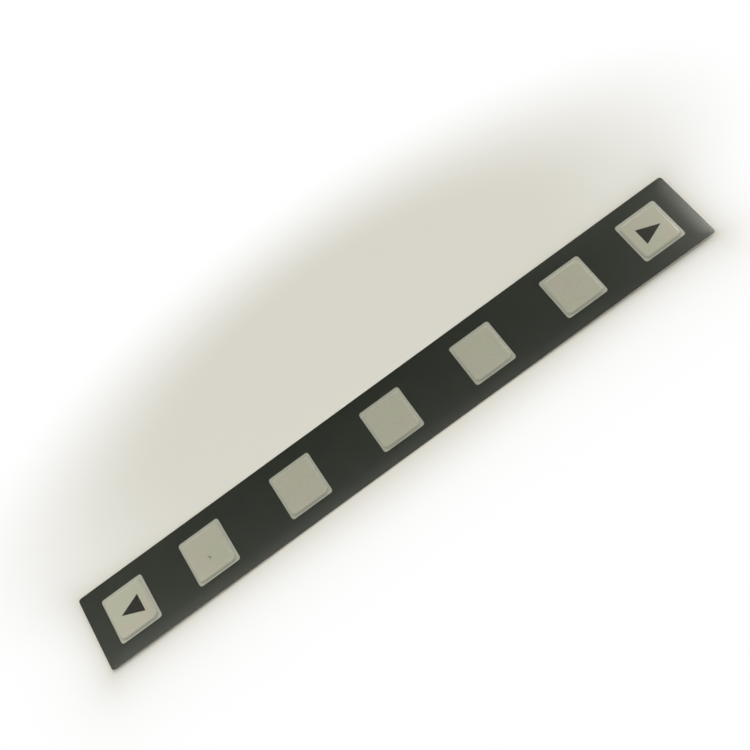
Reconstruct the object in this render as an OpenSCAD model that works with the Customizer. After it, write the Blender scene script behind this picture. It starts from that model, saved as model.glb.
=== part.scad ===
// Membrane keypad overlay: an embossed film strip with printed keys, backed by a die-cut adhesive sheet
// and its release liner. It lies with the liner down and the keys up, +X towards the right arrow key.

/* [Keys] */
// Number of keys in the row
key_count = 7; // [3:1:9]
// Distance between neighbouring blank keys, centre to centre
key_pitch = 30; // [24:0.5:50]
// Distance from each arrow key to the blank key beside it, centre to centre
end_pitch = 25.4; // [20:0.1:50]
// Side of the square key window that the black print leaves open
window_w = 13; // [11:0.1:18]
// Corner radius of the key window
window_r = 0.8; // [0.3:0.1:2]
// Length of the arrows on the end keys
arrow_l = 6.4; // [3:0.1:8]
// Height of the arrows across the strip
arrow_h = 5.1; // [2:0.1:8]
// How far the arrows are printed off the middle of their keys, along the strip
arrow_x = 0.15; // [-0.5:0.05:0.5]
// How far the arrows are printed off the middle of their keys, across the strip
arrow_y = -0.2; // [-0.5:0.05:0.5]

/* [Strip] */
// Film left between the left arrow key's window and the end of the strip
left_margin = 5.5; // [3:0.05:15]
// Film left between the right arrow key's window and the end of the strip
right_margin = 6.1; // [3:0.05:15]
// Film left between a key window and the long edge of the strip
side_margin = 4.2; // [2.5:0.1:15]
// Corner radius of the die-cut strip
corner_r = 0.8; // [0.2:0.1:3]

/* [Embossing] */
// Height of the raised keys above the film around them
emboss_h = 0.5; // [0.3:0.05:0.8]
// Flat grey border between the window's edge and the foot of the raised key
emboss_border = 0.25; // [0.2:0.05:1.5]
// How far the raised keys lie off the print, both along the strip and across it
emboss_shift = -0.1; // [-0.2:0.05:0.2]
// Steepest slope of the raised key's wall, in degrees
wall_angle = 45; // [30:5:50]
// Radius of the raised key's rounded rim
rim_r = 1; // [0.45:0.05:1.2]
// Radius of the bend at the foot of its wall
foot_r = 0.2; // [0.1:0.05:0.4]
// Corner radius of the raised key's flat top
top_r = 0.8; // [0.3:0.1:2]

/* [Layers] */
// Thickness of the clear film
film_t = 0.25; // [0.15:0.01:0.3]
// Thickness of the black ink
black_t = 0.05; // [0.02:0.01:0.08]
// Thickness of the grey ink, where it covers the black ink
grey_t = 0.05; // [0.02:0.01:0.06]
// Thickness of the adhesive sheet
adhesive_t = 0.13; // [0.08:0.01:0.3]
// Thickness of the paper release liner
liner_t = 0.1; // [0.06:0.01:0.2]

/* [Layer outlines] */
// Width of the grey ink that laps behind the black ink round each window
grey_lap = 0.55; // [0.2:0.05:1]
// Gap between the grey ink and the edge of the adhesive's cut-out
cutout_gap = 0.65; // [0.2:0.05:1]
// Corner radius of the cut-outs in the adhesive and the liner
cutout_r = 1.2; // [0.3:0.1:2]

/* [Liner marks] */
// Distance between the slanted rows of marks, along the strip
mark_row_pitch = 9; // [6:0.5:20]
// Angle of the rows to the strip, in degrees
mark_angle = 55; // [30:5:75]
// Distance between the marks of one row
mark_pitch = 10.5; // [8:0.5:20]
// Length of each dash
dash_l = 4.6; // [2:0.1:6]
// Width of the dashes and of the chevrons' arms
mark_w = 0.7; // [0.4:0.1:1.2]
// Height of the chevrons between the dashes
chevron_h = 2.4; // [1.5:0.1:4]
// Depth of the marks in the liner
mark_t = 0.02; // [0.01:0.01:0.04]

/* [Hidden] */
$fn = 48;

blank_span = (key_count - 3) * key_pitch;
strip_l = left_margin + window_w + 2 * end_pitch + blank_span + right_margin;
strip_w = window_w + 2 * side_margin;

// Keys from left to right: their centres along the strip
first_x = left_margin + window_w / 2 - strip_l / 2;
function key_x(i) =
    i == 1 ? first_x :
    i == key_count ? first_x + 2 * end_pitch + blank_span :
    first_x + end_pitch + (i - 2) * key_pitch;

// Levels from the liner's underside up
adhesive_z = liner_t;
black_z = adhesive_z + adhesive_t;
film_z = black_z + black_t;
front_z = film_z + film_t;

// Widths of the grey ink and of the cut-outs
grey_w = window_w + 2 * grey_lap;
grey_r = window_r + grey_lap / 2;
cutout_w = grey_w + 2 * cutout_gap;
cut_margin = 1; // how far a cut runs past the surface that it opens

// The raised key's wall is a rounded rim, a straight slope and a bend at the foot. The rim and the bend keep their
// centres on both faces of the film, so that it keeps its thickness.
bend_steps = 5;
both_r = rim_r + foot_r;
slope = min(wall_angle, acos(max(0, 1 - emboss_h / both_r)));
straight_l = max(0, (emboss_h - both_r * (1 - cos(slope))) / sin(slope));
wall_run = both_r * sin(slope) + straight_l * cos(slope);
top_half = window_w / 2 - emboss_border - wall_run;

function arc(centre, radius, from, to) = [
    for (k = [0:bend_steps])
        let (a = from + (to - from) * k / bend_steps)
            centre + radius * [cos(a), sin(a)]
];

// Section of a raised key at a depth below its front face, from the axis of a plan corner out to the foot and down
// to a base level. Its heights are from the key's top at that depth. The last facet of the foot runs on under the
// flat film, so that it crosses the film's face cleanly.
function key_section(depth, base) =
    let (
        top = emboss_h - depth,
        rim = arc([top_r, depth - rim_r], rim_r - depth, 90, 90 - slope),
        foot = arc([top_r + wall_run, foot_r - top], foot_r + depth, 270 - slope, 270),
        run_on = 2 * foot[bend_steps] - foot[bend_steps - 1]
    )
    concat(
        [[0, base - top], [0, 0]],
        rim,
        [for (k = [0:bend_steps - 1]) foot[k]],
        [run_on, [run_on.x, base - top]]
    );

module rounded_rectangle(l, w, r) {
    square([l - 2 * r, w], center = true);
    square([l, w - 2 * r], center = true);
    for (x = [-1, 1], y = [-1, 1])
        translate([x * (l / 2 - r), y * (w / 2 - r)]) circle(r);
}

module slab(l, w, r, z, t) {
    translate([0, 0, z]) linear_extrude(t) rounded_rectangle(l, w, r);
}

module at_keys() {
    for (i = [1:key_count]) translate([key_x(i), 0, 0]) children();
}

// The solid under a raised key's surface, at a depth below its front face: a square core, and the key's section
// carried along its four sides and turned about the axes of its corners. Base is a height from the flat front face.
module raised_key(depth, base) {
    corner = top_half - top_r;
    top = emboss_h - depth;
    translate([emboss_shift, emboss_shift, front_z + top]) {
        mirror([0, 0, 1]) linear_extrude(top - base) square(2 * corner + top_r, center = true);
        for (turn = [0:90:270]) rotate(turn) translate([corner, corner, 0]) {
            rotate_extrude(angle = 90) polygon(key_section(depth, base));
            rotate([90, 0, 0]) linear_extrude(2 * corner) polygon(key_section(depth, base));
        }
    }
}

module overlay_film() {
    color([0.86, 0.88, 0.86, 0.35]) difference() {
        union() {
            slab(strip_l, strip_w, corner_r, film_z, film_t);
            at_keys() raised_key(0, -film_t / 2);
        }
        at_keys() raised_key(film_t, -film_t - cut_margin);
    }
}

module black_print() {
    color([0.16, 0.17, 0.155]) difference() {
        slab(strip_l, strip_w, corner_r, black_z, black_t);
        at_keys() slab(window_w, window_w, window_r, black_z - cut_margin, black_t + 2 * cut_margin);
    }
}

// An arrow on the back of the film inside a raised key, pointing to +X for side 1 and to -X for side -1
module arrow(side) {
    translate([arrow_x, arrow_y, film_z + emboss_h - black_t]) linear_extrude(black_t)
        polygon([
            [side * arrow_l / 2, 0],
            [-side * arrow_l / 2, arrow_h / 2],
            [-side * arrow_l / 2, -arrow_h / 2]
        ]);
}

module arrow_print_left() {
    color([0.16, 0.15, 0.13]) translate([key_x(1), 0, 0]) arrow(-1);
}

module arrow_print_right() {
    color([0.16, 0.15, 0.13]) translate([key_x(key_count), 0, 0]) arrow(1);
}

// Grey ink behind one key: it laps behind the black ink, fills the window and lines the hollow of the key
module key_print(i) {
    ink_t = black_t + grey_t;
    color([0.65, 0.65, 0.58]) translate([key_x(i), 0, 0]) difference() {
        union() {
            slab(grey_w, grey_w, grey_r, black_z - grey_t, grey_t);
            slab(window_w, window_w, window_r, black_z - grey_t / 2, black_t + grey_t / 2);
            raised_key(film_t, -film_t - black_t - grey_t / 2);
        }
        raised_key(film_t + ink_t, -film_t - ink_t - cut_margin);
        if (i == 1) arrow(-1);
        if (i == key_count) arrow(1);
    }
}

// A sheet in the outline of the strip, cut out round each key
module die_cut_sheet(z, t) {
    difference() {
        slab(strip_l, strip_w, corner_r, z, t);
        at_keys() slab(cutout_w, cutout_w, cutout_r, z - cut_margin, t + 2 * cut_margin);
    }
}

module adhesive_sheet() {
    color([0.93, 0.93, 0.9]) die_cut_sheet(adhesive_z, adhesive_t);
}

// One mark of a row, along its own X: a dash, then a chevron that points the way the liner peels
module mark() {
    translate([-mark_pitch / 2, -mark_w / 2]) square([dash_l, mark_w]);
    arm = mark_w * sqrt(2);
    reach = chevron_h / 2;
    translate([mark_pitch / 4, 0]) polygon([
        [0, reach], [reach, 0], [0, -reach],
        [arm, -reach], [arm + reach, 0], [arm, reach]
    ]);
}

module mark_rows() {
    rows = ceil(strip_l / mark_row_pitch / 2) + 1;
    marks = ceil(strip_w / sin(mark_angle) / mark_pitch / 2);
    for (row = [-rows:rows], k = [-marks:marks])
        translate([row * mark_row_pitch, 0]) rotate(mark_angle)
            translate([(k + (row % 2) / 2) * mark_pitch, 0]) mark();
}

module liner_print() {
    color([0.66, 0.16, 0.2]) intersection() {
        die_cut_sheet(0, mark_t);
        translate([0, 0, -cut_margin]) linear_extrude(mark_t + 2 * cut_margin) mark_rows();
    }
}

module release_liner() {
    color([0.93, 0.92, 0.88]) difference() {
        die_cut_sheet(0, liner_t);
        translate([0, 0, -cut_margin]) linear_extrude(cut_margin + mark_t) mark_rows();
    }
}

overlay_film();
black_print();
arrow_print_left();
arrow_print_right();
for (i = [1:key_count])
    key_print(i);
adhesive_sheet();
release_liner();
liner_print();
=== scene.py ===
"""Looks of a membrane keypad overlay strip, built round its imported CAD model.

The strip is a clear satin film with seven raised keys. It is printed on its back in black and pale grey, and it
lies on a die-cut adhesive sheet with a paper liner. The arrows, the liner and its marks keep their CAD solids and
get their finishes here. The film, the grey inks, the black ink and the adhesive are rebuilt as smooth surfaces in
the same places, with the strip's edges pressed down a little. Sizes are in millimetres, but for those of the lamps,
and turn to metres when a mesh is made.
"""

from __future__ import annotations

import logging
import math
import sys
from dataclasses import dataclass
from enum import Enum

import bpy
import numpy as np
from mathutils import Matrix, Vector

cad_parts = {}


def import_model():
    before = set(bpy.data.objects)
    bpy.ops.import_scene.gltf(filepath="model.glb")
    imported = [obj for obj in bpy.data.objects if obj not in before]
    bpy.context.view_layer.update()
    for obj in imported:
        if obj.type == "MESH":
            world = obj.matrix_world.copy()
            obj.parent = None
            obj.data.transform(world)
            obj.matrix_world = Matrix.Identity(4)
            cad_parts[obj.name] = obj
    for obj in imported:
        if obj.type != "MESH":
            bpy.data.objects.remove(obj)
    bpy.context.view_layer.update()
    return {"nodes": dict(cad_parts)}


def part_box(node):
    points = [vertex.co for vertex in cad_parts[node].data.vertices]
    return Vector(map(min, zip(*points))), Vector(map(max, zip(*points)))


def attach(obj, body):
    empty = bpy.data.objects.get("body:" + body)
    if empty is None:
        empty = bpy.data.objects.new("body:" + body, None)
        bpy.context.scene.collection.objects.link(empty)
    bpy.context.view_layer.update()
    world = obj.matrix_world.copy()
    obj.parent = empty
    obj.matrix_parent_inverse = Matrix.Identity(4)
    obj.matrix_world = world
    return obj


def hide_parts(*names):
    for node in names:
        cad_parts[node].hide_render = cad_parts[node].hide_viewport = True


log = logging.getLogger("keypad")

MM = 0.001
BODY = "root"
# The darker border colour that this attribute brings in on the grey keys is partly painted shade at the foot of each
# raised key.
BORDER_SHADE_ZONE = "border_shade_zone"  # the grey inks' attribute that turns from 0 on a key's flat top to 1 at its foot
HAIR_GAP = 0.004  # keeps two touching faces from sharing one plane, far too thin to see
WELD_DIGITS = 6  # points that agree to this many decimals of a millimetre are one point
TINY = 1e-9  # far below any real length, so that nothing is divided by zero
WHITE = "#ffffff"

Colour = tuple[float, float, float, float] | bpy.types.NodeSocket
Surface = tuple[np.ndarray, np.ndarray]  # points, and the quads that index them


class Arrow(Enum):
    """The two arrows, named by their CAD nodes."""

    LEFT = "arrow_print_left"
    RIGHT = "arrow_print_right"


class Blend(Enum):
    """What a Mix node blends: its type, and the places of its two inputs and its output among its sockets."""

    NUMBER = ("FLOAT", 2, 3, 0)
    COLOUR = ("RGBA", 6, 7, 2)


def linear(code: str) -> tuple[float, float, float, float]:
    """Turn an sRGB hex colour into linear light, by the curve of the sRGB standard.

    Args:
        code: six hex digits with a leading hash.

    Returns:
        Red, green, blue and an alpha of 1.
    """
    channels = [int(code[i : i + 2], 16) / 255 for i in (1, 3, 5)]
    light = [c / 12.92 if c <= 0.04045 else ((c + 0.055) / 1.055) ** 2.4 for c in channels]
    return (*light, 1.0)


def add(
    tree: bpy.types.NodeTree, kind: str, settings: dict | None = None, inputs: dict | None = None
) -> bpy.types.Node:
    """Add one node to a tree.

    Args:
        tree: the material's or world's node tree.
        kind: the node's type name.
        settings: node properties by name.
        inputs: input values or source sockets, by socket name or index.

    Returns:
        The new node.
    """
    node = tree.nodes.new(kind)
    for name, value in (settings or {}).items():
        setattr(node, name, value)
    for key, value in (inputs or {}).items():
        if isinstance(value, bpy.types.NodeSocket):
            tree.links.new(value, node.inputs[key])
        else:
            node.inputs[key].default_value = value
    return node


def new_material(name: str) -> tuple[bpy.types.Material, bpy.types.NodeTree]:
    """Make an empty node material.

    Args:
        name: the material's name.

    Returns:
        The material and its node tree.
    """
    material = bpy.data.materials.new(name)
    material.use_nodes = True
    material.node_tree.nodes.clear()
    return material, material.node_tree


def show(tree: bpy.types.NodeTree, shader: bpy.types.Node) -> None:
    """Lead a shader to the output of a material's tree."""
    add(tree, "ShaderNodeOutputMaterial", inputs={"Surface": shader.outputs[0]})


def calc(tree: bpy.types.NodeTree, operation: str, *values: float | bpy.types.NodeSocket) -> bpy.types.NodeSocket:
    """Work out a number from one or two values with a Math node."""
    return add(tree, "ShaderNodeMath", {"operation": operation}, dict(enumerate(values))).outputs[0]


def vector_calc(
    tree: bpy.types.NodeTree, operation: str, *values: tuple[float, float, float] | bpy.types.NodeSocket
) -> bpy.types.NodeSocket:
    """Work out a vector, or a vector's length, from one or two vectors with a Vector Math node."""
    node = add(tree, "ShaderNodeVectorMath", {"operation": operation}, dict(enumerate(values)))
    return node.outputs["Value" if operation == "LENGTH" else "Vector"]


def noise(tree: bpy.types.NodeTree, pitch_mm: float, detail: float = 2.0) -> bpy.types.NodeSocket:
    """Add a noise pattern on Object coordinates.

    Args:
        tree: the material's node tree.
        pitch_mm: rough distance between the pattern's spots, in millimetres.
        detail: octaves of finer noise.

    Returns:
        The pattern's value, from 0 to 1 about 0.5.
    """
    place = add(tree, "ShaderNodeTexCoord").outputs["Object"]
    inputs = {"Vector": place, "Scale": 1 / (pitch_mm * MM), "Detail": detail}
    return add(tree, "ShaderNodeTexNoise", inputs=inputs).outputs["Fac"]


def blend(
    tree: bpy.types.NodeTree, kind: Blend, share: bpy.types.NodeSocket, low: float | Colour, high: float | Colour
) -> bpy.types.NodeSocket:
    """Mix two numbers or two colours by a share.

    Args:
        tree: the node tree.
        kind: what to blend.
        share: 0 gives the low value and 1 the high one.
        low: a number, a colour or a socket.
        high: the same.

    Returns:
        The mixed value.
    """
    data_type, low_input, high_input, result = kind.value
    node = add(tree, "ShaderNodeMix", {"data_type": data_type}, {0: share, low_input: low, high_input: high})
    return node.outputs[result]


def span(
    tree: bpy.types.NodeTree, value: bpy.types.NodeSocket, start: float, end: float, low: float = 0, high: float = 1
) -> bpy.types.NodeSocket:
    """Map a value smoothly from one range to another.

    Args:
        tree: the node tree.
        value: the value to map.
        start: the value that gives low.
        end: the value that gives high.
        low: the result at start and before it.
        high: the result at end and past it.

    Returns:
        The mapped value.
    """
    node = add(
        tree,
        "ShaderNodeMapRange",
        {"interpolation_type": "SMOOTHSTEP"},
        {"Value": value, "From Min": start, "From Max": end, "To Min": low, "To Max": high},
    )
    return node.outputs["Result"]


def bump(
    tree: bpy.types.NodeTree, height: bpy.types.NodeSocket, depth_mm: float, under: bpy.types.NodeSocket | None = None
) -> bpy.types.NodeSocket:
    """Tilt a surface's normal by a fine relief.

    Args:
        tree: the material's node tree.
        height: the relief's pattern, from 0 to 1.
        depth_mm: the relief's depth, in millimetres.
        under: the normal of a coarser relief that this one lies on, if there is one.

    Returns:
        The new normal.
    """
    inputs = {"Height": height, "Distance": depth_mm * MM, "Strength": 1.0}
    if under is not None:
        inputs["Normal"] = under
    return add(tree, "ShaderNodeBump", inputs=inputs).outputs["Normal"]


@dataclass(frozen=True)
class SatinFilm:
    """Hard-coated clear polyester with a satin face: it passes the print and adds a soft, wide sheen.

    The film's mirror share is its Alpha, set by Fresnel, so the rest of the light goes straight through.
    """

    sheen: str = "#fffdf3"
    ior: float = 1.5
    roughness: float = 0.22
    grain_mm: float = 0.3  # real grain is about 0.05 mm, drawn coarser so that it shows
    grain_depth_mm: float = 0.0002
    wave_mm: float = 9.0
    wave_detail: float = 1.0
    wave_depth_mm: float = 0.012

    def material(self) -> bpy.types.Material:
        """Build the film's material.

        Returns:
            The material.
        """
        material, tree = new_material("satin_polyester_film")
        waves = bump(tree, noise(tree, self.wave_mm, self.wave_detail), self.wave_depth_mm)
        grain = bump(tree, noise(tree, self.grain_mm), self.grain_depth_mm, waves)
        mirrored = add(tree, "ShaderNodeFresnel", inputs={"IOR": self.ior, "Normal": grain}).outputs[0]
        outer_face = calc(tree, "SUBTRACT", 1.0, add(tree, "ShaderNodeNewGeometry").outputs["Backfacing"])
        shader = add(
            tree,
            "ShaderNodeBsdfPrincipled",
            inputs={
                "Base Color": linear(self.sheen),
                "Metallic": 1.0,
                "Roughness": self.roughness,
                "Normal": grain,
                "Alpha": calc(tree, "MULTIPLY", mirrored, outer_face),
            },
        )
        show(tree, shader)
        return material


@dataclass(frozen=True)
class ScreenInk:
    """Screen-printed ink: a flat, even field with a faint mottle from the mesh that laid it down.

    It has no gloss of its own, since the film in front gives all of it. A border colour takes over where a mesh
    attribute says: on the grey keys a darker one, partly the ink's own cooler tone and partly painted shade at each
    key's foot.
    """

    name: str
    colour: str
    cloud: str
    cloud_mm: float = 7.0
    cloud_detail: float = 1.0
    cloud_range: tuple[float, float] = (0.35, 0.65)
    fleck_mm: float = 0.35
    fleck_range: tuple[float, float] = (0.3, 0.7)
    fleck_share: float = 0.05
    roughness: float = 0.55
    # A darker colour where the mesh attribute says; on the grey keys it is partly painted shade at each key's foot.
    border: str | None = None

    def material(self) -> bpy.types.Material:
        """Build the ink's material.

        Returns:
            The material.
        """
        material, tree = new_material(self.name)
        clouds = span(tree, noise(tree, self.cloud_mm, self.cloud_detail), *self.cloud_range)
        colour = blend(tree, Blend.COLOUR, clouds, linear(self.colour), linear(self.cloud))
        # On the grey keys the border colour is painted shade at the foot as well as a cooler ink tone.
        if self.border:
            border_shade = add(tree, "ShaderNodeAttribute", {"attribute_name": BORDER_SHADE_ZONE}).outputs["Fac"]
            colour = blend(tree, Blend.COLOUR, border_shade, colour, linear(self.border))
        flecks = noise(tree, self.fleck_mm)
        shade = span(tree, flecks, *self.fleck_range, 1 - self.fleck_share, 1 + self.fleck_share)
        scaled = add(tree, "ShaderNodeVectorMath", {"operation": "SCALE"}, {0: colour, "Scale": shade})
        shader = add(
            tree,
            "ShaderNodeBsdfPrincipled",
            inputs={"Base Color": scaled.outputs[0], "Roughness": self.roughness, "Specular IOR Level": 0.0},
        )
        show(tree, shader)
        return material


@dataclass(frozen=True)
class TransferTape:
    """Acrylic adhesive on a thin carrier: milky and slightly shiny where its cut edge shows."""

    colour: str = "#e4e3da"
    streak: str = "#f2f1ea"
    streak_mm: float = 1.5
    roughness: float = 0.35
    alpha: float = 0.9

    def material(self) -> bpy.types.Material:
        """Build the adhesive's material.

        Returns:
            The material.
        """
        material, tree = new_material("acrylic_transfer_tape")
        colour = blend(tree, Blend.COLOUR, noise(tree, self.streak_mm), linear(self.colour), linear(self.streak))
        shader = add(
            tree,
            "ShaderNodeBsdfPrincipled",
            inputs={"Base Color": colour, "Roughness": self.roughness, "Alpha": self.alpha},
        )
        show(tree, shader)
        return material


@dataclass(frozen=True)
class LinerPaper:
    """Clay-coated kraft liner, siliconed: off-white, smooth, with a faint fibre and a dull shine."""

    colour: str = "#e9e7db"
    fibre: str = "#dedbcb"
    fibre_mm: float = 0.5
    fibre_detail: float = 4.0
    fibre_range: tuple[float, float] = (0.4, 0.75)
    fibre_depth_mm: float = 0.004
    roughness: float = 0.42

    def material(self) -> bpy.types.Material:
        """Build the paper's material.

        Returns:
            The material.
        """
        material, tree = new_material("siliconed_liner_paper")
        fibre = noise(tree, self.fibre_mm, self.fibre_detail)
        share = span(tree, fibre, *self.fibre_range)
        shader = add(
            tree,
            "ShaderNodeBsdfPrincipled",
            inputs={
                "Base Color": blend(tree, Blend.COLOUR, share, linear(self.colour), linear(self.fibre)),
                "Roughness": self.roughness,
                "Normal": bump(tree, fibre, self.fibre_depth_mm),
            },
        )
        show(tree, shader)
        return material


SATIN_FILM = SatinFilm()
BLACK_INK = ScreenInk("black_screen_ink", "#181e14", "#1b2017")
# The grey's border colour is darker than its face: partly a cooler ink tone, partly painted shade at each key's foot.
GREY_INK = ScreenInk("grey_screen_ink", "#a6a793", "#a9a594", border="#a0a293")
ARROW_INK = ScreenInk("arrow_screen_ink", "#0d0b00", "#100e01")
RED_INK = ScreenInk("red_liner_ink", "#a62a36", "#b23540", cloud_mm=2.0, roughness=0.6)
DIRT = ScreenInk("trapped_dirt", "#5d584a", "#6d6757", cloud_mm=0.5)
TRANSFER_TAPE = TransferTape()
LINER_PAPER = LinerPaper()


@dataclass(frozen=True)
class Outline:
    """A rectangle in plan with its own radius at each corner, in the order of a left turn from low x and y."""

    x0: float
    x1: float
    y0: float
    y1: float
    radii: tuple[float, float, float, float]

    @classmethod
    def square(cls, x: float, y: float, half: float, radius: float) -> Outline:
        """Make a rounded square.

        Args:
            x: its centre along the strip.
            y: its centre across the strip.
            half: half its side.
            radius: its corner radius.

        Returns:
            The outline.
        """
        return cls(x - half, x + half, y - half, y + half, (radius,) * 4)


@dataclass(frozen=True)
class LoopGrid:
    """Turns outlines into closed loops of points that all match, so that any two can be joined by quads."""

    straight: int = 8  # quads along a straight side
    corner: int = 6  # quads along half a corner
    square_zone: float = 1.0

    @property
    def side(self) -> int:
        """Return the quads along one side of a loop."""
        return self.straight + 2 * self.corner

    def loop(self, outline: Outline) -> np.ndarray:
        """Walk an outline from the middle of its first corner, turning left.

        A rounded corner's points lie on its arc at even angles. A square corner's lie on its two edges at even
        steps, as far from the corner as square_zone.

        Args:
            outline: the outline to walk.

        Returns:
            Points in plan, four sides long.
        """
        corners = np.array(
            [
                [outline.x0, outline.y0],
                [outline.x1, outline.y0],
                [outline.x1, outline.y1],
                [outline.x0, outline.y1],
            ]
        )
        step = np.linspace(0, 1, 2 * self.corner + 1)
        runs = []
        for k, (point, radius) in enumerate(zip(corners, outline.radii)):
            along = np.array([math.cos(k * math.pi / 2), math.sin(k * math.pi / 2)])
            into = np.array([along[1], -along[0]])
            if radius > 0:
                angle = math.pi * (1 + k / 2) + step * math.pi / 2
                centre = point + radius * (along - into)
                runs.append(centre + radius * np.stack([np.cos(angle), np.sin(angle)], 1))
            else:
                before = np.minimum(2 * step - 1, 0)[:, None] * into * self.square_zone
                after = np.maximum(2 * step - 1, 0)[:, None] * along * self.square_zone
                runs.append(point + before + after)
        parts = [runs[0][self.corner :]]
        for k in range(4):
            start, end = runs[k][-1], runs[(k + 1) % 4][0]
            parts.append(np.linspace(start, end, self.straight + 1)[1:-1])
            parts.append(runs[k + 1] if k < 3 else runs[0][: self.corner])
        return np.concatenate(parts)

    def patch(self, loop: np.ndarray) -> np.ndarray:
        """Fill a loop with a square grid by blending its four sides, which is a Coons patch.

        Args:
            loop: points in space, four sides long.

        Returns:
            Points, (side + 1) rows of (side + 1).
        """
        n = self.side
        low, right = loop[: n + 1], loop[n : 2 * n + 1]
        high, left = loop[2 * n : 3 * n + 1][::-1], np.concatenate([loop[3 * n :], loop[:1]])[::-1]
        u = ((low[:, 0] - low[0, 0]) / (low[-1, 0] - low[0, 0]))[None, :, None]
        v = ((right[:, 1] - right[0, 1]) / (right[-1, 1] - right[0, 1]))[:, None, None]
        sides = (1 - v) * low[None] + v * high[None] + (1 - u) * left[:, None] + u * right[:, None]
        bent = (1 - v) * ((1 - u) * low[0] + u * low[-1]) + v * ((1 - u) * high[0] + u * high[-1])
        return sides - bent

    def patch_index(self) -> np.ndarray:
        """Return the indices of a patch's points, in rows."""
        return np.arange((self.side + 1) ** 2).reshape(self.side + 1, self.side + 1)

    def patch_rim(self) -> np.ndarray:
        """Return the indices of a patch's rim in the order of its loop."""
        grid = self.patch_index()
        return np.concatenate([grid[0, :-1], grid[:-1, -1], grid[-1, :0:-1], grid[:0:-1, 0]])

    def patch_quads(self) -> np.ndarray:
        """Return the quads of a patch, facing up."""
        grid = self.patch_index()
        return np.stack([grid[:-1, :-1], grid[:-1, 1:], grid[1:, 1:], grid[1:, :-1]], -1).reshape(-1, 4)

    def nest(self, rings: np.ndarray, filled: bool) -> Surface:
        """Join loops that lie one round the other into a surface that faces up.

        Args:
            rings: the loops' points in space, from the inside out.
            filled: True to fill the first loop with a patch.

        Returns:
            The points and the quads.
        """
        count = 4 * self.side
        if filled:
            points = [self.patch(rings[0]).reshape(-1, 3)]
            index = [self.patch_rim()]
            quads = [self.patch_quads()]
        else:
            points, index, quads = [rings[0]], [np.arange(count)], []
        start = len(points[0])
        points.append(rings[1:].reshape(-1, 3))
        index.extend(start + k * count + np.arange(count) for k in range(len(rings) - 1))
        rows = np.array(index)
        inner, outer = rows[:-1], rows[1:]
        strips = np.stack([inner, outer, np.roll(outer, -1, 1), np.roll(inner, -1, 1)], -1)
        quads.append(strips.reshape(-1, 4))
        return np.concatenate(points), np.concatenate(quads)


def weld(points: np.ndarray, faces: np.ndarray, *others: np.ndarray) -> tuple[np.ndarray, ...]:
    """Merge points that share a place.

    Args:
        points: points in space.
        faces: faces that index them.
        others: more arrays with a row for each point, which keep the same rows.

    Returns:
        The points, the faces and the other arrays, merged.
    """
    _, first, back = np.unique(np.round(points, WELD_DIGITS), axis=0, return_index=True, return_inverse=True)
    return points[first], back.reshape(-1)[faces], *(o[first] for o in others)


def close_plate(front: np.ndarray, back: np.ndarray, quads: np.ndarray) -> Surface:
    """Close a front and a back surface of the same quads with walls along their open edges.

    Args:
        front: the front's points, whose quads face up.
        back: the back's points, one for each of the front's.
        quads: the quads of the front.

    Returns:
        The points and quads of the closed solid.
    """
    front, quads, back = weld(front, quads, back)
    edges = np.stack([quads, np.roll(quads, -1, 1)], -1).reshape(-1, 2)
    _, first, counts = np.unique(np.sort(edges, 1), axis=0, return_index=True, return_counts=True)
    a, b = edges[first[counts == 1]].T
    n = len(front)
    walls = np.stack([a, a + n, b + n, b], -1)
    return np.concatenate([front, back]), np.concatenate([quads, quads[:, ::-1] + n, walls])


def make_piece(
    name: str, points: np.ndarray, faces: np.ndarray, caps: tuple[list[int], ...] = (), sharp_deg: float = 35.0
) -> bpy.types.Object:
    """Put a surface into a mesh object, smooth but for its sharp edges.

    Args:
        name: the piece's name.
        points: its points in millimetres.
        faces: its quads.
        caps: more faces, of any length.
        sharp_deg: edges that turn by more than this stay sharp.

    Returns:
        The new object.
    """
    mesh = bpy.data.meshes.new(name)
    mesh.from_pydata((points * MM).tolist(), [], [*faces.tolist(), *caps])
    mesh.shade_smooth()
    mesh.set_sharp_from_angle(angle=math.radians(sharp_deg))
    piece = bpy.data.objects.new(name, mesh)
    bpy.context.scene.collection.objects.link(piece)
    return piece


def dress(piece: bpy.types.Object, material: bpy.types.Material) -> None:
    """Give a piece one material, in every slot that it has.

    Args:
        piece: a new piece or a CAD node.
        material: its finish.
    """
    if not piece.material_slots:
        piece.data.materials.append(material)
    for slot in piece.material_slots:
        slot.material = material


def settle(piece: bpy.types.Object, slot: str | None = None, node: str | None = None) -> None:
    """Tie a new piece to the CAD model.

    Args:
        piece: the new piece.
        slot: the record's material slot, if it has one, which is only logged.
        node: the CAD node that it stands for, if there is one.
    """
    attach(piece, BODY)
    if node:
        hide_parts(node)
    log.info("%s: %d faces, slot %s", piece.name, len(piece.data.polygons), slot)


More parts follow.
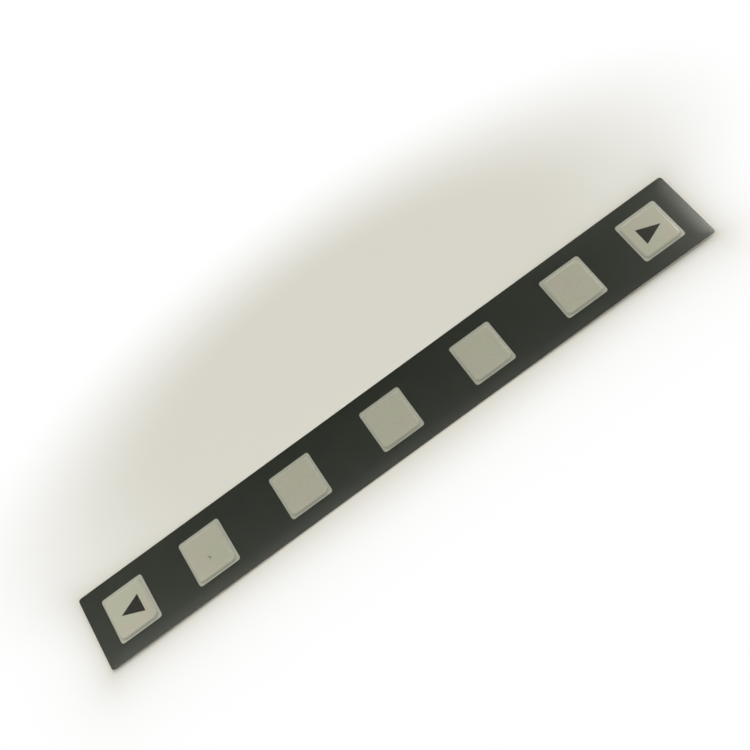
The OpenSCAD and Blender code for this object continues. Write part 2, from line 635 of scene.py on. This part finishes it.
@dataclass(frozen=True)
class RaisedKey:
    """The section of one raised key: a flat top, a rounded crest, a straight slope and a bend at the foot.

    Both faces of the film share the centres of the crest and of the foot, so that it keeps its thickness.
    """

    window: float = 13.0
    window_radius: float = 0.8
    border: float = 0.25  # flat grey between the window's edge and the foot
    shift: float = -0.1  # how far the raised key lies off its window, along the strip and across it
    wall_deg: float = 45.0
    crest_radius: float = 1.0
    foot_radius: float = 0.2
    top_radius: float = 0.8
    height: float = 0.5
    film: float = 0.25
    steps: int = 8  # facets of the crest, and of the foot
    inset: float = 0.35  # how far the innermost loop lies inside the flat top's edge

    @property
    def slope(self) -> float:
        """Return the wall's slope in radians, which is less than wall_deg if the two arcs alone reach the height."""
        both = self.crest_radius + self.foot_radius
        return min(math.radians(self.wall_deg), math.acos(max(0.0, 1 - self.height / both)))

    @property
    def run(self) -> float:
        """Return how far the wall reaches in plan, with its two arcs and the straight part between them."""
        both = self.crest_radius + self.foot_radius
        straight = max(0.0, (self.height - both * (1 - math.cos(self.slope))) / math.sin(self.slope))
        return both * math.sin(self.slope) + straight * math.cos(self.slope)

    @property
    def top_half(self) -> float:
        """Return half the width of the flat top."""
        return self.window / 2 - self.border - self.run

    def section(self, depth: float) -> np.ndarray:
        """Work out the section at a depth below the film's front face.

        The crest is an arc down from the flat top, the foot an arc that ends flat, and the slope joins them.

        Args:
            depth: distance from the front face, square to it.

        Returns:
            Half widths and heights above the flat face at that depth, from the top down.
        """
        turn = np.linspace(0, self.slope, self.steps + 1)
        crest_r = self.crest_radius - depth
        foot_r = self.foot_radius + depth
        crest = np.stack([self.top_half + crest_r * np.sin(turn), self.height - crest_r * (1 - np.cos(turn))], 1)
        foot_turn = turn[::-1]
        foot_x = self.top_half + self.run - foot_r * np.sin(foot_turn)
        foot = np.stack([foot_x, foot_r * (1 - np.cos(foot_turn))], 1)
        return np.concatenate([crest, foot])

    def corner(self, half: float) -> float:
        """Return the plan radius of the loop that lies half a width from the axis."""
        return self.top_radius + half - self.top_half


@dataclass(frozen=True)
class EdgeRoll:
    """How the die has pressed the strip's edges down: the drop grows as a square towards the edge."""

    side_drop: float = 0.055
    side_reach: float = 4.0
    end_drop: float = 0.09
    end_reach: float = 5.0

    def drop(self, plan: np.ndarray, half_l: float, half_w: float) -> np.ndarray:
        """Work out the drop at points in plan.

        Args:
            plan: points in plan.
            half_l: half the strip's length.
            half_w: half its width.

        Returns:
            The drop at each point.
        """
        side = np.clip(1 - (half_w - np.abs(plan[..., 1])) / self.side_reach, 0, 1) ** 2
        end = np.clip(1 - (half_l - np.abs(plan[..., 0])) / self.end_reach, 0, 1) ** 2
        return np.hypot(self.side_drop * side, self.end_drop * end)


@dataclass(frozen=True)
class Layout:
    """Where things are: the strip's size, its keys and the levels of its layers, as the CAD frame gives them."""

    half_l: float
    half_w: float
    key_x: tuple[float, ...]
    adhesive_z: float
    grey_z: float
    black_z: float
    film_z: float
    key: RaisedKey
    corner_radius: float = 0.8
    margin_rings: int = 12
    grid: LoopGrid = LoopGrid()
    roll: EdgeRoll = EdgeRoll()

    @classmethod
    def from_frame(cls, key_count: int) -> Layout:
        """Read the layout from the boxes of the CAD nodes.

        Args:
            key_count: number of keys in the row.

        Returns:
            The layout in millimetres.
        """
        film_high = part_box("overlay_film")[1] / MM
        black_low, black_high = (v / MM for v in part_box("black_print"))
        keys = [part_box(f"key_print_{k + 1}") for k in range(key_count)]
        ink_low, ink_high = (v / MM for v in keys[0])
        return cls(
            half_l=film_high.x,
            half_w=film_high.y,
            key_x=tuple((low.x + high.x) / 2 / MM for low, high in keys),
            adhesive_z=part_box("adhesive_sheet")[0].z / MM,
            grey_z=ink_low.z,
            black_z=black_low.z,
            film_z=black_high.z,
            key=RaisedKey(height=ink_high.z - black_high.z, film=film_high.z - ink_high.z),
        )

    @property
    def front_z(self) -> float:
        """Return the level of the film's flat front face."""
        return self.film_z + self.key.film

    def window(self, x: float, grow: float = 0.0) -> Outline:
        """Return the outline of a key's window, grown by a width on each side."""
        return Outline.square(x, 0, self.key.window / 2 + grow, self.key.window_radius + grow / 2)

    def cells(self) -> list[tuple[float, Outline]]:
        """Share the strip out among its keys.

        Returns:
            For each key its place and the outline of its part of the strip, which ends halfway to its neighbours.
        """
        middles = [(a + b) / 2 for a, b in zip(self.key_x, self.key_x[1:])]
        cuts = [-self.half_l, *middles, self.half_l]
        cells = []
        for k, x in enumerate(self.key_x):
            left = self.corner_radius * (k == 0)
            right = self.corner_radius * (k == len(self.key_x) - 1)
            outline = Outline(cuts[k], cuts[k + 1], -self.half_w, self.half_w, (left, right, right, left))
            cells.append((x, outline))
        return cells

    def level(self, plan: np.ndarray, z: float, rolled: bool = False) -> np.ndarray:
        """Lift points in plan to a level, less the drop at the rolled edges.

        Args:
            plan: points in plan.
            z: the level.
            rolled: True if the level follows the rolled edges.

        Returns:
            Points in space.
        """
        drop = self.roll.drop(plan, self.half_l, self.half_w) * rolled
        return np.concatenate([plan, (z - drop)[..., None]], -1)

    def margin(self, inner: Outline, cell: Outline) -> np.ndarray:
        """Spread loops from a rounded square out to a cell's outline.

        Their shares of the way follow half a cosine wave, so that they lie closer together towards both.

        Args:
            inner: the rounded square.
            cell: the outline to reach.

        Returns:
            The loops in plan, from the square out.
        """
        share = (0.5 - 0.5 * np.cos(np.linspace(0, math.pi, self.margin_rings + 1)))[:, None, None]
        return (1 - share) * self.grid.loop(inner) + share * self.grid.loop(cell)

    def key_rings(self, x: float, depth: float, z: float) -> np.ndarray:
        """Carry the key's section round its rounded square plan.

        Args:
            x: the key's place.
            depth: distance from the film's front face.
            z: the flat level at that depth.

        Returns:
            The loops in space, from inside the flat top to the foot.
        """
        key = self.key
        section = key.section(depth)
        rings = []
        for half, height in [section[0] - [key.inset, 0], *section]:
            outline = Outline.square(x + key.shift, key.shift, half, key.corner(half))
            rings.append(self.level(self.grid.loop(outline), z + height))
        return np.array(rings)

    def joined(self, parts: list[list[Surface]]) -> Surface:
        """Join the front and back surfaces of all cells into one closed solid.

        Args:
            parts: for each cell its front and its back.

        Returns:
            The points and quads of the solid.
        """
        fronts = np.concatenate([front[0] for front, _ in parts])
        backs = np.concatenate([back[0] for _, back in parts])
        starts = np.cumsum([0] + [len(front[0]) for front, _ in parts[:-1]])
        quads = np.concatenate([front[1] + start for (front, _), start in zip(parts, starts)])
        return close_plate(fronts, backs, quads)

    def flat_sheet(
        self, name: str, grow: float, radius: float, back: tuple[float, bool], front: tuple[float, bool]
    ) -> bpy.types.Object:
        """Build a thin sheet in the strip's outline with a rounded square cut out round each key.

        Args:
            name: the piece's name.
            grow: how far the cut-outs reach past the windows.
            radius: the cut-outs' corner radius.
            back: the back's level, and True if it follows the rolled edges.
            front: the same for the front.

        Returns:
            The piece.
        """
        parts = []
        for x, cell in self.cells():
            plan = self.margin(Outline.square(x, 0, self.key.window / 2 + grow, radius), cell)
            parts.append([self.grid.nest(self.level(plan, *face), False) for face in (front, back)])
        return make_piece(name, *self.joined(parts))


@dataclass
class OverlayFilm:
    """The clear film with its raised keys. Its die-cut edge is very slightly rounded, which catches the light."""

    layout: Layout
    edge_round: float = 0.03
    edge_steps: int = 3
    edge_deg: float = 60.0  # edges that turn by more than this are rounded

    def build(self) -> None:
        """Build the film and dress it."""
        layout, key = self.layout, self.layout.key
        front = (0.0, layout.front_z)
        back = (key.film - HAIR_GAP, layout.film_z + HAIR_GAP)  # a hair in front of the inks
        parts = []
        for x, cell in layout.cells():
            plan = layout.margin(layout.window(x), cell)
            faces = []
            for depth, z in (front, back):
                rings = [layout.key_rings(x, depth, z), layout.level(plan, z, True)]
                faces.append(layout.grid.nest(np.concatenate(rings), True))
            parts.append(faces)
        film = make_piece("clear_overlay_film", *layout.joined(parts))
        bevel = film.modifiers.new("die_cut_edge", "BEVEL")
        bevel.width = self.edge_round * MM
        bevel.segments = self.edge_steps
        bevel.limit_method = "ANGLE"
        bevel.angle_limit = math.radians(self.edge_deg)
        bevel.harden_normals = True
        dress(film, SATIN_FILM.material())
        settle(film, "clear_film", "overlay_film")


@dataclass
class Inks:
    """The inks behind the film: the black field, the grey keys and the two arrows."""

    layout: Layout
    lap: float = 0.55  # how far the grey inks reach behind the black one

    def build(self) -> None:
        """Build and dress the inks."""
        layout = self.layout
        black = layout.flat_sheet(
            "black_field_ink", 0, layout.key.window_radius, (layout.black_z, True), (layout.film_z, True)
        )
        dress(black, BLACK_INK.material())
        settle(black, "black_ink", "black_print")
        grey = GREY_INK.material()
        last = len(layout.key_x)
        for number in range(1, last + 1):
            ink = self.key_ink(number, {1: Arrow.LEFT, last: Arrow.RIGHT}.get(number))
            dress(ink, grey)
            settle(ink, "grey_ink", f"key_print_{number}")
        arrow_ink = ARROW_INK.material()
        for arrow in Arrow:
            dress(bpy.data.objects[arrow.value], arrow_ink)

    def arrow_loop(self, arrow: Arrow, around: np.ndarray) -> np.ndarray:
        """Match an arrow's outline to a loop round it.

        Each point is where the ray from the arrow's middle to the loop's point meets the triangle, which is the
        nearest of its three edges along that ray. The points nearest to the triangle's corners move onto them.

        Args:
            arrow: which arrow.
            around: the loop in plan.

        Returns:
            The outline's points in plan.
        """
        low, high = (np.array(v)[:2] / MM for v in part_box(arrow.value))
        tip_x, base_x = (high[0], low[0]) if arrow is Arrow.RIGHT else (low[0], high[0])
        corners = np.array([[tip_x, (low[1] + high[1]) / 2], [base_x, high[1]], [base_x, low[1]]])
        middle = corners.mean(0)
        rays = around - middle
        rays /= np.linalg.norm(rays, axis=1)[:, None]
        edges = np.roll(corners, -1, 0) - corners
        normals = np.stack([edges[:, 1], -edges[:, 0]], 1)
        offsets = ((corners - middle) * normals).sum(1)
        facing = rays @ normals.T * np.sign(offsets)
        reach = np.where(facing > TINY, np.abs(offsets) / np.maximum(facing, TINY), np.inf).min(1)
        outline = middle + rays * reach[:, None]
        aim = (corners - middle) / np.linalg.norm(corners - middle, axis=1)[:, None]
        outline[(aim @ rays.T).argmax(1)] = corners
        return outline

    def key_ink(self, number: int, arrow: Arrow | None) -> bpy.types.Object:
        """Build the grey ink behind one key.

        Its face lines the hollow of the key and fills the window, then steps back behind the black ink and laps
        it. Its back follows the face. On an arrow key its top has a recess that the arrow fills.

        Args:
            number: the key's number in the row, from 1.
            arrow: the arrow on the key, if it has one.

        Returns:
            The piece.
        """
        layout, key, grid = self.layout, self.layout.key, self.layout.grid
        x = layout.key_x[number - 1]
        ink = layout.film_z - layout.grey_z
        face = layout.key_rings(x, key.film, layout.film_z)
        hollow = layout.key_rings(x, key.film + ink, layout.grey_z)[::-1]
        steps = [
            (layout.window(x), layout.film_z),
            (layout.window(x), layout.black_z),
            (layout.window(x, self.lap), layout.black_z),
            (layout.window(x, self.lap), layout.grey_z),
            (layout.window(x), layout.grey_z),
        ]
        rings = [*face, *(layout.level(grid.loop(outline), z) for outline, z in steps), *hollow]
        if arrow:
            outline = self.arrow_loop(arrow, face[0][:, :2])
            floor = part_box(arrow.value)[0].z / MM
            rings = [layout.level(outline, floor), layout.level(outline, layout.film_z + key.height), *rings]
        points, quads = grid.nest(np.array(rings), True)
        under, under_quads = grid.patch(rings[-1]).reshape(-1, 3), grid.patch_quads()[:, ::-1]
        points, quads = weld(np.concatenate([points, under]), np.concatenate([quads, under_quads + len(points)]))
        piece = make_piece(f"key_{number}_grey_ink", points, quads)
        middle = [x + key.shift, key.shift]
        # 0 on the flat top and 1 from the foot out: the share of the darker border colour, which is partly painted
        # shade.
        border_shade = np.clip((np.abs(points[:, :2] - middle).max(1) - key.top_half) / key.run, 0, 1)
        layer = piece.data.attributes.new(BORDER_SHADE_ZONE, "FLOAT", "POINT")
        layer.data.foreach_set("value", border_shade.astype(np.float32))
        return piece


@dataclass
class Backing:
    """The layers behind the prints: the die-cut adhesive sheet, the paper liner and the marks on it."""

    layout: Layout
    cutout_grow: float = 1.2  # how far the cut-outs reach past the windows
    cutout_radius: float = 1.2

    def build(self) -> None:
        """Build the adhesive, whose face is pressed down at the edges, and dress all three."""
        layout = self.layout
        adhesive = layout.flat_sheet(
            "adhesive_layer",
            self.cutout_grow,
            self.cutout_radius,
            (layout.adhesive_z, False),
            (layout.black_z, True),
        )
        dress(adhesive, TRANSFER_TAPE.material())
        settle(adhesive, "adhesive", "adhesive_sheet")
        dress(bpy.data.objects["release_liner"], LINER_PAPER.material())
        dress(bpy.data.objects["liner_print"], RED_INK.material())


@dataclass
class TrappedFleck:
    """A scratch with a speck of dirt in it, just under the face of the film on the second key."""

    layout: Layout
    key_number: int = 2
    route: tuple[tuple[float, float], ...] = ((-0.75, 0.25), (-0.65, -1.0), (-0.25, -1.6), (0.3, -1.95))
    line_points: int = 33
    ring_points: int = 8
    line_width: float = 0.07
    tip_share: float = 0.05
    speck_width: float = 0.34
    speck_at: float = 0.68  # as a share of the line, like its length
    speck_length: float = 0.12
    thickness: float = 0.03
    cover: float = 0.02  # clear film over it

    def build(self) -> None:
        """Build the fleck and dress it.

        Its middle line is one cubic curve with the route's points as its handles. Its section is a flat ellipse,
        as wide as the line plus a bell-shaped swelling at the speck, and half a sine wave thins it to both tips.
        """
        t = np.linspace(0, 1, self.line_points)[:, None]
        a, b, c, d = (np.array(p) for p in self.route)
        middle = (1 - t) ** 3 * a + 3 * (1 - t) ** 2 * t * b + 3 * (1 - t) * t**2 * c + t**3 * d
        ahead = np.gradient(middle, axis=0)
        ahead /= np.linalg.norm(ahead, axis=1)[:, None]
        across = np.stack([-ahead[:, 1], ahead[:, 0]], 1)
        taper = self.tip_share + (1 - self.tip_share) * np.sin(np.pi * t)
        swell = np.exp(-(((t - self.speck_at) / self.speck_length) ** 2))
        half = taper * (self.line_width + (self.speck_width - self.line_width) * swell) / 2
        turn = np.linspace(0, 2 * math.pi, self.ring_points + 1)[:-1]
        plan = middle[:, None] + across[:, None] * half[:, None] * np.cos(turn)[None, :, None]
        plan = plan + [self.layout.key_x[self.key_number - 1], 0]
        top = self.layout.front_z + self.layout.key.height - self.cover
        z = top - self.thickness / 2 * (1 + taper * np.sin(turn)[None])
        points = np.concatenate([plan, z[..., None]], 2)
        rows, count = points.shape[:2]
        index = np.arange(rows * count).reshape(rows, count)
        ring = np.roll(index, -1, 1)
        quads = np.stack([index[:-1], ring[:-1], ring[1:], index[1:]], -1).reshape(-1, 4)
        caps = (index[0, ::-1].tolist(), index[-1].tolist())
        fleck = make_piece("trapped_fleck", points.reshape(-1, 3), quads, caps)
        dress(fleck, DIRT.material())
        settle(fleck)


def stand(place: Vector, right: Vector, up: Vector, back: Vector) -> Matrix:
    """Return the matrix that puts an object at a place in metres, with its own three axes along these."""
    return Matrix.Translation(place) @ Matrix((right, up, back)).transposed().to_4x4()


@dataclass(frozen=True)
class Lamp:
    """A soft rectangular lamp that faces the object's middle. Its sizes and its distance are in metres.

    Its share is the level that it alone gives white paper at the object's middle, where 1 is white. A close lamp
    stands just beyond an end of the strip, where it lights the walls of the end key far more than the rest.
    """

    name: str
    direction: tuple[float, float, float]
    width: float
    height: float
    share: float
    distance: float = 5.0
    mirrored: bool = True  # False keeps it out of the film's gloss
    on_floor: bool = True  # False keeps its light off the floor, where a close lamp would leave a bright patch

    def hang(self, floor: bpy.types.Object) -> None:
        """Hang the lamp. Its power is its share times pi squared, times its distance squared, over its slant.

        Args:
            floor: the floor, which some lamps don't light.
        """
        aim = Vector(self.direction).normalized()
        light = bpy.data.lights.new(self.name, "AREA")
        light.shape = "RECTANGLE"
        light.size, light.size_y = self.width, self.height
        light.energy = self.share * math.pi**2 * self.distance**2 / aim.z
        lamp = bpy.data.objects.new(self.name, light)
        side = Vector((0, 1, 0)).cross(aim).normalized()
        lamp.matrix_world = stand(aim * self.distance, side, aim.cross(side), aim)
        lamp.visible_camera = False
        lamp.visible_glossy = self.mirrored
        if not self.on_floor:
            unlit = bpy.data.collections.new(f"unlit_by_{self.name}")
            unlit.objects.link(floor)
            unlit.collection_objects[0].light_linking.link_state = "EXCLUDE"
            lamp.light_linking.receiver_collection = unlit
        bpy.context.scene.collection.objects.link(lamp)


@dataclass
class Studio:
    """The pale floor, the soft light and the camera."""

    floor_size: float = 4000.0
    floor_colour: str = "#e7e5da"
    floor_roughness: float = 0.5
    strip_half: tuple[float, float] = (97.7, 10.7)
    fade: float = 6.0  # the floor's tone is down to a third this far from the strip
    flat_half: float = 15.0  # the floor is flat this far from the middle
    sag: tuple[float, float] = (0.8, 1.4)  # how much lower it is under the strip's left and right ends
    sag_steps: int = 24
    pool_middle: tuple[float, float] = (4.0, 26.0)  # an ellipse of floor that keeps its tone
    pool_reach: tuple[float, float] = (99.0, 36.0)
    pool_edge: tuple[float, float] = (0.6, 1.4)  # where its soft edge starts and ends, as shares of its reach
    walls: float = 0.62
    ceiling: float = 0.28
    ceiling_edge: tuple[float, float] = (0.6, 0.91)  # heights where the walls end and the ceiling starts, 1 overhead
    lamps: tuple[Lamp, ...] = (
        Lamp("overhead_strip_light", (-0.30, 0.097, 0.94), 7.7, 0.65, 0.20),
        Lamp("bright_window", (0.567, 0.18, 0.80), 0.5, 0.85, 0.096),
        Lamp("upper_window", (0.36, 0.56, 0.75), 1.2, 1.2, 0.092),
        Lamp("upper_left_window", (-0.38, 0.56, 0.75), 1.2, 1.2, 0.04),
        Lamp("side_window", (0.80, 0.25, 0.54), 1.4, 1.4, 0.034),
        Lamp("left_window", (-0.62, 0.30, 0.72), 3.0, 2.0, 0.014),
        Lamp("back_window", (-0.05, 0.80, 0.60), 2.0, 1.0, 0.03, mirrored=False),
        Lamp("near_left", (-0.915, 0.14, 0.370), 0.012, 0.012, 0.043, 0.162, mirrored=False, on_floor=False),
        Lamp("near_right", (0.940, 0.062, 0.335), 0.012, 0.012, 0.018, 0.162, on_floor=False),
    )
    eye: tuple[float, float, float] = (1.96, -53.29, 187.28)
    right: tuple[float, float, float] = (0.8081, -0.5569, -0.1917)
    up: tuple[float, float, float] = (0.589, 0.7607, 0.2727)
    lens: float = 34.96
    sensor: float = 36.0
    clip: tuple[float, float] = (0.01, 100.0)  # in metres

    def build(self) -> None:
        """Build the floor, the light and the camera."""
        floor = self.lay_floor()
        self.light_world()
        for lamp in self.lamps:
            lamp.hang(floor)
        self.place_camera()

    def seen(self, tree: bpy.types.NodeTree) -> bpy.types.NodeSocket:
        """Find the rays that show the background itself and don't light the object with it.

        Args:
            tree: a node tree.

        Returns:
            1 for camera, glossy and transmission rays, and 0 for the rest.
        """
        path = add(tree, "ShaderNodeLightPath").outputs
        passed_on = calc(tree, "MAXIMUM", path["Is Glossy Ray"], path["Is Transmission Ray"])
        return calc(tree, "MAXIMUM", path["Is Camera Ray"], passed_on)

    def lay_floor(self) -> bpy.types.Object:
        """Lay a matt pale floor that keeps its tone and shadows round the strip and fades to white further out.

        The tone falls by the exponential of the distance from the strip's outline, except in the pool, an ellipse
        where all of it stays.

        Returns:
            The floor.
        """
        material, tree = new_material("matt_paper_floor")
        place = add(tree, "ShaderNodeTexCoord").outputs["Object"]
        half = (self.strip_half[0] * MM, self.strip_half[1] * MM, 1.0)  # so high that the floor's sag doesn't count
        beyond = vector_calc(tree, "SUBTRACT", vector_calc(tree, "ABSOLUTE", place), half)
        gap = vector_calc(tree, "LENGTH", vector_calc(tree, "MAXIMUM", beyond, (0.0, 0.0, 0.0)))
        kept = calc(tree, "EXPONENT", calc(tree, "MULTIPLY", gap, -1 / (self.fade * MM)))
        pool = add(
            tree,
            "ShaderNodeMapping",
            inputs={
                "Vector": place,
                "Location": tuple(-m / r for m, r in zip(self.pool_middle, self.pool_reach)) + (0.0,),
                "Scale": tuple(1 / (r * MM) for r in self.pool_reach) + (0.0,),
            },
        )
        rim = span(tree, vector_calc(tree, "LENGTH", pool.outputs[0]), *self.pool_edge)
        white = calc(tree, "MULTIPLY", calc(tree, "SUBTRACT", 1.0, kept), rim)
        shown = calc(tree, "MULTIPLY", white, self.seen(tree))
        colour = linear(self.floor_colour)
        paper = add(tree, "ShaderNodeBsdfDiffuse", inputs={"Color": colour, "Roughness": self.floor_roughness})
        glow = add(tree, "ShaderNodeEmission", inputs={"Color": linear(WHITE), "Strength": 1.0})
        show(tree, add(tree, "ShaderNodeMixShader", inputs={0: shown, 1: paper.outputs[0], 2: glow.outputs[0]}))
        floor = self.floor_sheet()
        dress(floor, material)
        return floor

    def floor_sheet(self) -> bpy.types.Object:
        """Build the floor. It sags a little to both sides, since the real strip's ends stand just clear of it.

        The drop grows as a smooth step from the flat middle to the strip's ends, and stays level beyond them.

        Returns:
            The floor.
        """
        half = self.floor_size / 2
        end = self.strip_half[0]
        x = np.array([-half, *np.linspace(-end, end, 2 * self.sag_steps + 1), half])
        share = np.clip((np.abs(x) - self.flat_half) / (end - self.flat_half), 0, 1)
        drop = share**2 * (3 - 2 * share) * np.where(x < 0, *self.sag)
        z = -HAIR_GAP - drop
        points = np.concatenate([np.stack([x, np.full_like(x, y), z], 1) for y in (-half, half)])
        low = np.arange(len(x) - 1)
        high = low + len(x)
        return make_piece("floor", points, np.stack([low, low + 1, high + 1, high], 1))

    def light_world(self) -> None:
        """Surround the scene with pale walls and a dimmer ceiling, which look white where they are seen directly."""
        world = bpy.data.worlds.new("soft_room")
        world.use_nodes = True
        tree = world.node_tree
        tree.nodes.clear()
        direction = add(tree, "ShaderNodeTexCoord").outputs["Generated"]
        height = add(tree, "ShaderNodeSeparateXYZ", inputs={0: direction}).outputs["Z"]
        room = span(tree, height, *self.ceiling_edge, self.walls, self.ceiling)
        direct = add(tree, "ShaderNodeLightPath").outputs["Is Camera Ray"]
        level = blend(tree, Blend.NUMBER, direct, room, 1.0)
        background = add(tree, "ShaderNodeBackground", inputs={"Color": linear(WHITE), "Strength": level})
        add(tree, "ShaderNodeOutputWorld", inputs={"Surface": background.outputs[0]})
        bpy.context.scene.world = world

    def place_camera(self) -> None:
        """Place the camera at the viewpoint that was worked out from the strip's corners and keys."""
        data = bpy.data.cameras.new("camera")
        data.sensor_width = self.sensor
        data.lens = self.lens
        data.clip_start, data.clip_end = self.clip
        right = Vector(self.right).normalized()
        back = right.cross(Vector(self.up)).normalized()
        camera = bpy.data.objects.new("camera", data)
        camera.matrix_world = stand(Vector(self.eye) * MM, right, back.cross(right), back)
        bpy.context.scene.collection.objects.link(camera)
        bpy.context.scene.camera = camera
        bpy.context.scene.view_settings.view_transform = "Standard"


def main() -> None:
    """Load the frame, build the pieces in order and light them."""
    logging.basicConfig(level=logging.INFO, format="%(name)s %(message)s", stream=sys.stdout)
    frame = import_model()
    layout = Layout.from_frame(sum(name.startswith("key_print_") for name in frame["nodes"]))
    for part in (OverlayFilm(layout), Inks(layout), Backing(layout), TrappedFleck(layout), Studio()):
        part.build()
        log.info("%s is built", type(part).__name__)


if __name__ == "__main__":
    main()
